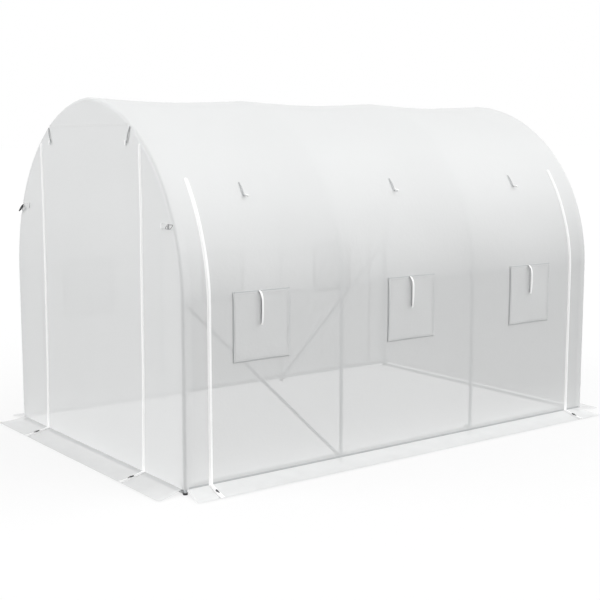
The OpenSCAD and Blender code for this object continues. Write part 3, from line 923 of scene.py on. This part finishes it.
def buildFlaps(side, label):
    node = label + "_window_flaps"
    us = flapLines(-1, 1)
    vs = flapLines(0, 1)
    last = len(us) - 2
    spots = [(u, v) for v in vs for u in us]
    uvs = [(u * flapSize / 2, v * flapSize) for u, v in spots]
    milk = [flap["haze"]] * len(spots)
    whole = gridFaces(len(vs), len(us), turned=side > 0)
    border = gridFaces(len(vs), len(us), turned=side > 0,
                       keep=lambda i, j: i in (0, last) or j in (0, last))
    for number, centre in enumerate(windowCentres):
        name = label + "Flap" + str(number + 1)
        sheet = [flapPoint(side, centre, u, v) for u, v in spots]
        hem = [flapPoint(side, centre, u, v, flap["hemLift"]) for u, v in spots]
        piece = makePiece(name, sheet, whole, clearFilm, (node,), uvs, milk)
        hemPiece = makePiece(name + "Hem", hem, border, hemFilm, (), uvs)


def flapStitchLines():
    runs = []
    lift = flap["hemLift"] + 0.0004
    edge = flap["hem"] / flapSize
    corners = [(edge - 1, edge / 2), (1 - edge, edge / 2),
               (1 - edge, 1 - edge / 2), (edge - 1, 1 - edge / 2)]
    for side, centre in windows:
        run = []
        for (u0, v0), (u1, v1) in zip(corners, corners[1:] + corners[:1]):
            for t in spread(0, 1, 20)[:-1]:
                place = flapPoint(side, centre, u0 + (u1 - u0) * t, v0 + (v1 - v0) * t, lift)
                run.append((place, wallOut(side, flapTop)))
        runs.append(run + run[:1])
    return runs


# painted shade: grey strips behind the flap edges, standing in for the shade lines round each flap
def buildFlapShadeStrips():
    bands = []
    wide = flapShade["width"]
    peep = flapShade["peep"]
    profile = strapProfile(wide, flapShade["thick"])
    low = flapTop - flapSize + wide / 2 - peep["low"]
    high = flapTop - wide / 2 + peep["high"]
    for side, centre in windows:
        front = centre - flapSize / 2 + wide / 2 - peep["front"]
        back = centre + flapSize / 2 - wide / 2 + peep["back"]
        for y in (front, back):
            heights = spread(low - wide / 2, high + wide / 2, 10)
            path = [wallPoint(side, z, y, flapShade["lift"]) for z in heights]
            bands.append(strapAlong(path, alongY * -side, profile))
        for z in (low, high):
            reaches = spread(front + wide * 0.6, back - wide * 0.6, 10)
            path = [wallPoint(side, z, y, flapShade["lift"]) for y in reaches]
            bands.append(strapAlong(path, alongZ * side, profile))
    bandPiece("flapShadeStrips", bands, flapShadeTape)


buildFlaps(1, "right")
buildFlaps(-1, "left")
growPiece("flapStitches", flapStitchLines(), repeatLine, hemStitch)
buildFlapShadeStrips()
print("window flaps hung")


# Window straps: a white one hanging free and a dark one behind it on the flap

windowStrap = {
    "width": 0.0120,
    "thick": 0.0015,
    "length": 0.169,
    "hang": 0.034,  # how far the white strap stands out
    "aside": 0.017,  # both hang this far towards the door
    "darkWidth": 0.005,  # width of the dark strap
    "darkAside": 0.006,
}


def buildWindowStraps():
    hang = windowStrap["hang"]
    end = windowStrap["length"]
    stand = flap["stand"]
    skin = stand + flap["bulge"] + 0.0022  # clear of the flap
    hanging = [(0.0015, 0.001), (0.008, 0.002), (hang * 0.62, -0.009), (hang * 0.88, -0.026),
               (hang, -0.048), (hang, -0.10), (hang * 0.92, -end * 0.86), (hang * 0.8, -end)]
    lying = [(0.0015, -0.001), (stand + 0.002, 0.002), (skin, -0.012), (skin + 0.001, -0.06),
             (skin + 0.0015, -0.11), (skin + 0.001, -end * 0.97)]

    def bands(marks, aside, width):
        # one strap to each window, through marks of (out from the wall, rise from the flap's top)
        made = []
        for side, centre in windows:
            path = [Vector((side * (halfWidth + out), centre + aside, flapTop + rise))
                    for out, rise in marks]
            profile = strapProfile(width, windowStrap["thick"])
            made.append(strapAlong(smoothPath(path, 5), alongY * side, profile))
        return made

    white = bands(hanging, -windowStrap["aside"], windowStrap["width"])
    dark = bands(lying, windowStrap["darkAside"] - windowStrap["aside"], windowStrap["darkWidth"])
    bandPiece("windowStraps", white, whiteTape, ("window_straps",))
    bandPiece("windowDarkStraps", dark, darkWebbing)


buildWindowStraps()
print("window straps hung")


# Ties with toggles, under the tops of the side zips and at the top of the door

tie = {
    "width": 0.007,
    "thick": 0.0016,
    "length": 0.088,
    "lifts": [0.0006, 0.003, 0.0052, 0.0058, 0.005, 0.0042],  # off the film, from the top down
    "curtainTop": zipper["sideTop"] - 0.016,
    "doorX": 0.483,
    "doorAside": 0.010,  # both door ties sit this far to the right
    "doorTop": crown - 0.161,
    "lean": math.radians(21),
    "toggleLength": 0.025,
    "toggleRadius": 0.0060,
    "toggleFlat": 0.004,  # the door toggles are flat ones
    "toggleDrop": 0.012,
    "toggleGap": 0.007,
}


def toggleOutline():
    radius = tie["toggleRadius"]
    half = [(0.0, radius * 0.55), (0.05, radius * 0.85), (0.14, radius),
            (0.42, radius), (0.47, radius * 0.7)]
    return half + [(1 - share, wide) for share, wide in reversed(half)]


def buildTies():
    curtain = []
    door = []
    toggles = []
    profile = strapProfile(tie["width"], tie["thick"])
    flat = strapProfile(2 * tie["toggleRadius"], tie["toggleFlat"])
    drops = list(zip(tie["lifts"], spread(0, tie["length"], len(tie["lifts"]) - 1)))
    topS = wallHeightS(tie["curtainTop"])
    for side, y in windows:
        path = [coverPoint(onSide(side, topS - drop), y, lift) for lift, drop in drops]
        curtain.append(strapAlong(smoothPath(path, 4), alongY * side, profile))
        swing = Vector((side * 0.6, 0.75, -0.3)).normalized()
        foot = path[-1] - swing * 0.002 + wallOut(side, path[-1].z) * 0.003 + alongZ * 0.008
        toggles.append(turnedBar(foot, foot + swing * tie["toggleLength"], toggleOutline()))
    for side in (1, -1):
        down = Vector((-side * math.sin(tie["lean"]), 0, -math.cos(tie["lean"])))
        head = Vector((side * tie["doorX"] + tie["doorAside"], 0, tie["doorTop"]))
        places = [(head + down * drop, lift) for lift, drop in drops]
        path = [frontPoint(place.x, place.z, lift) for place, lift in places]
        door.append(strapAlong(smoothPath(path, 4), down.cross(alongY), profile))
        beside = tie["toggleRadius"] + tie["width"] / 2 + tie["toggleGap"]
        foot = path[-1] + Vector((-beside, -0.001, -tie["toggleDrop"]))
        rises = [(foot + alongZ * (tie["toggleLength"] * share), wide) for share, wide in toggleOutline()]
        stations = [(place, -alongY, alongX, wide / tie["toggleRadius"]) for place, wide in rises]
        toggles.append((stations, flat))
    bandPiece("curtainTies", curtain, paleWebbing, ("tie_straps",))
    bandPiece("doorTies", door, greyWebbing, ("tie_straps",))
    bandPiece("tieToggles", toggles, whitePlastic, ("tie_toggles",))


buildTies()
print("ties and toggles fixed")


# Shoulder loops: a tab of film doubled round a stout dark ring, at each side of the front arch

loop = {
    "height": {1: 1.327, -1: 1.358},
    "lean": {1: math.radians(-1), -1: math.radians(38)},  # each ring hangs in its own way
    "twist": {1: math.radians(36), -1: math.radians(128)},
    "webStart": -0.112,  # along the loop, from the edge of the arch
    "webEnd": -0.044,
    "webWidth": 0.026,
    "webThick": 0.0015,
    "ringLength": 0.054,
    "ringWidth": 0.024,
    "ringCorner": 0.008,
    "ringBar": {1: 0.0010, -1: 0.0032},
    "edging": 0.007,  # white binding at the sewn end
    "edgingThick": 0.0052,
}


def buildLoops():
    web = []
    binding = []
    rings = []
    ahead = -alongY
    start = loop["webStart"]
    end = loop["webEnd"]
    for side in (1, -1):
        bar = loop["ringBar"][side]
        gap = bar + 0.0012
        lean = loop["lean"][side]
        twist = loop["twist"][side]
        height = loop["height"][side]
        level = alongX * side
        edge = Vector((side * sectionAt(wallHeightS(height))[0], -halfLength, height))
        marks = [(start, 0.0004), (end - 0.024, 0.0006), (end - 0.006, 0.001), (end, gap + 0.001),
                 (end - 0.006, 2 * gap + 0.001), (end - 0.024, 0.0032), (start + 0.006, 0.0026)]
        path = smoothPath([edge + level * t + ahead * lift for t, lift in marks], 5)
        profile = strapProfile(loop["webWidth"], loop["webThick"])
        web.append(strapAlong(path, level.cross(ahead), profile))
        sewn = edge + level * (start + 0.003)
        half = loop["webWidth"] / 2 + 0.003
        path = [sewn + alongZ * rise for rise in spread(half, -half, 4)]
        binding.append(strapAlong(path, alongX, strapProfile(loop["edging"], loop["edgingThick"])))
        along = Vector((side * math.cos(lean), 0, -math.sin(lean)))
        turned = along.cross(ahead) * math.cos(twist) + ahead * math.sin(twist)
        middle = edge + level * (end - 0.004) + along * (loop["ringLength"] / 2)
        middle += ahead * (gap + 0.001 + loop["ringWidth"] / 2 * math.sin(twist))
        rings.append(roundedRing(middle, along, turned, loop["ringLength"], loop["ringWidth"],
                                 loop["ringCorner"], bar))
    bandPiece("shoulderLoops", web, hemFilm, ("shoulder_loops",))
    bandPiece("loopBindings", binding, whiteTape)
    bandPiece("loopRings", rings, blackPlastic, ("loop_rings",), looped=True)


buildLoops()
print("shoulder loops sewn on")


# Zip sliders, resting on the skirt

slider = {
    "out": 0.066,
    "length": 0.024,
    "width": 0.010,
    "high": 0.0046,
    "pullLength": 0.022,
    "pullWidth": 0.006,
    "pullThick": 0.0019,
    "pullDrop": 0.0035,
}


def sliderBands(toWorld, along, stray):
    section = [(-1, 0.0), (1, 0.0), (1, 0.55), (0.7, 0.9),
               (0.3, 1.0), (-0.3, 1.0), (-0.7, 0.9), (-1, 0.55)]
    profile = [(u * slider["width"] / 2, v * slider["high"]) for u, v in section]
    body = [(0.0, 0.55), (0.08, 0.8), (0.25, 1.0), (0.6, 0.95), (0.85, 0.78), (1.0, 0.6)]  # share, width
    pull = [(0.0, 0.7), (0.12, 1.0), (0.75, 1.0), (0.92, 0.8), (1.0, 0.5)]
    near = onSkirt(toWorld, along, stray, slider["out"])
    ahead = (onSkirt(toWorld, along, stray, slider["out"] + 0.04) - near).normalized()
    across = ahead.cross(alongZ).normalized()
    up = across.cross(ahead)
    base = near + up * (zipper["thick"] + 0.0022)
    tip = base + ahead * slider["length"]
    bodyStations = [(base.lerp(tip, share), up, across, scale) for share, scale in body]
    hinge = base + ahead * (slider["length"] * 0.7) + up * (slider["high"] + 0.0002)
    tip = hinge + ahead * slider["pullLength"] - up * slider["pullDrop"]
    pullStations = [(hinge.lerp(tip, share), up, across, scale) for share, scale in pull]
    pullProfile = strapProfile(slider["pullWidth"], slider["pullThick"])
    return [(bodyStations, profile), (pullStations, pullProfile)]


sliders = []
for foot in doorFeet:
    sliders += sliderBands(endGround(-1), foot, doorStray)
for side in (1, -1):
    for foot in sideFeet:
        sliders += sliderBands(sideGround(side), foot, sideStray)
bandPiece("zipSliders", sliders, blackPlastic, ("zip_sliders",))
print("sliders set")


# Painted shade lines where the side walls turn out into the skirts, broken at the zips: grey strips for
# the dark crease line

footShade = {"width": 0.008, "thick": 0.0012, "up": 0.005, "lift": 0.0006, "gap": 0.006, "step": 0.05}


def buildFootShadeLines():
    bands = []
    profile = strapProfile(footShade["width"], footShade["thick"])
    for side in (1, -1):
        for low, high in sideRuns:
            steps = max(4, round((high - low) / footShade["step"]))
            ys = spread(low + footShade["gap"], high - footShade["gap"], steps)
            path = [wallPoint(side, footZ + footShade["up"], y, footShade["lift"]) for y in ys]
            bands.append(strapAlong(path, alongZ * side, profile))
    bandPiece("footShadeLines", bands, footShadeTape)


buildFootShadeLines()
print("foot seams sewn")


# Clamp bolts

bolt = {"Head": 0.0052, "Depth": 0.0044, "Material": steel}


def boltRuns():
    runs = []
    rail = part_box("right_base_rail")
    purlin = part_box("right_purlin")
    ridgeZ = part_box("ridge_clamps")[0][2]
    face = rail[0][0] - 0.0042  # inner face of the clamps
    for y in hoopLines:
        for low, high in (rail, purlin):
            for side in (1, -1):
                runs.append([(Vector((side * face, y, (low[2] + high[2]) / 2)), alongX * -side)])
        runs.append([(Vector((0, y, ridgeZ)), -alongZ)])
    return runs


growPiece("clampBolts", boltRuns(), boltPlaces, bolt)
print("clamps bolted")


# Camera, light and stage

view = {
    "focal": 1143.36,  # in pixels of a frame 600 wide
    "frameWidth": 600,
    "azimuth": 53.1314,
    "elevation": 7.9003,
    "distance": 7.3261,
    "right": -0.0429,
    "up": 0.7387,
    "sensor": 36.0,
}
light = {
    "world": 0.83,
    "floorColour": 0.20,
    "floorHalf": 300,
    "floorZ": -0.0006,
    "suns": {  # where each soft light comes from, its strength and its spread in degrees
        "key": ((0.40, 0.66, 0.64), 1.12, 60),
        "frontFill": ((-0.50, -0.85, 0.08), 2.62, 40),
        "sideFill": ((0.95, 0.15, 0.30), 0.90, 60),
    },
}


def placeCamera():
    azimuth = math.radians(view["azimuth"])
    elevation = math.radians(view["elevation"])
    back = Vector((math.sin(azimuth) * math.cos(elevation),
                   -math.cos(azimuth) * math.cos(elevation), math.sin(elevation)))
    right = Vector((math.cos(azimuth), math.sin(azimuth), 0))
    up = back.cross(right)
    data = bpy.data.cameras.new("camera")
    data.sensor_width = view["sensor"]
    data.lens = view["focal"] / view["frameWidth"] * view["sensor"]
    camera = bpy.data.objects.new("camera", data)
    camera.location = back * view["distance"] + right * view["right"] + up * view["up"]
    camera.rotation_euler = (-back).to_track_quat("-Z", "Y").to_euler()
    bpy.context.scene.collection.objects.link(camera)
    bpy.context.scene.camera = camera


def shownRays(tree):
    # 1 for what the camera sees, straight or in a gloss or through glass
    rays = addNode(tree, "ShaderNodeLightPath").outputs
    seen = addNode(tree, "ShaderNodeMath", [(rays["Is Camera Ray"], 0), (rays["Is Glossy Ray"], 1)],
                   operation="MAXIMUM")
    return addNode(tree, "ShaderNodeMath", [(seen, 0), (rays["Is Transmission Ray"], 1)],
                   operation="MAXIMUM")


def lightScene():
    world = bpy.data.worlds.new("studio")
    bpy.context.scene.world = world
    world.use_nodes = True
    tree = world.node_tree
    tree.nodes.clear()
    level = addNode(tree, "ShaderNodeMapRange", [(shownRays(tree), "Value")],
                    in_To_Min=light["world"], in_To_Max=1.0)
    backdrop = addNode(tree, "ShaderNodeBackground", [(level, "Strength")], in_Color=(1, 1, 1, 1))
    addNode(tree, "ShaderNodeOutputWorld", [(backdrop, "Surface")])
    for name, (source, strength, wide) in light["suns"].items():
        lamp = bpy.data.lights.new(name, "SUN")
        lamp.energy = strength
        lamp.angle = math.radians(wide)
        sun = bpy.data.objects.new(name, lamp)
        sun.rotation_euler = (-Vector(source)).to_track_quat("-Z", "Y").to_euler()
        bpy.context.scene.collection.objects.link(sun)


def layFloor():
    # pale floor: part of it glows for the camera, so that it stays white and keeps the shadow
    material, tree = newMaterial("studioFloor")
    grey = light["floorColour"]
    lit = light["world"]
    for source, strength, wide in light["suns"].values():
        lit += strength * Vector(source).normalized().z / math.pi
    matte = addNode(tree, "ShaderNodeBsdfDiffuse", in_Color=(grey, grey, grey, 1))
    lift = 1.0 - grey * lit
    level = addNode(tree, "ShaderNodeMath", [(shownRays(tree), 0)], operation="MULTIPLY", in_1=lift)
    glow = addNode(tree, "ShaderNodeEmission", [(level, "Strength")], in_Color=(1, 1, 1, 1))
    both = addNode(tree, "ShaderNodeAddShader", [(matte, 0), (glow, 1)])
    addNode(tree, "ShaderNodeOutputMaterial", [(both, "Surface")])
    half = light["floorHalf"]
    corners = [(x * half, y * half, light["floorZ"]) for x, y in ((-1, -1), (1, -1), (1, 1), (-1, 1))]
    mesh = bpy.data.meshes.new("floor")
    mesh.from_pydata(corners, [], [(0, 1, 2, 3)])
    mesh.materials.append(material)
    floor = bpy.data.objects.new("floor", mesh)
    bpy.context.scene.collection.objects.link(floor)


placeCamera()
lightScene()
layFloor()
bpy.context.scene.view_settings.view_transform = "Standard"
print("camera and light placed")
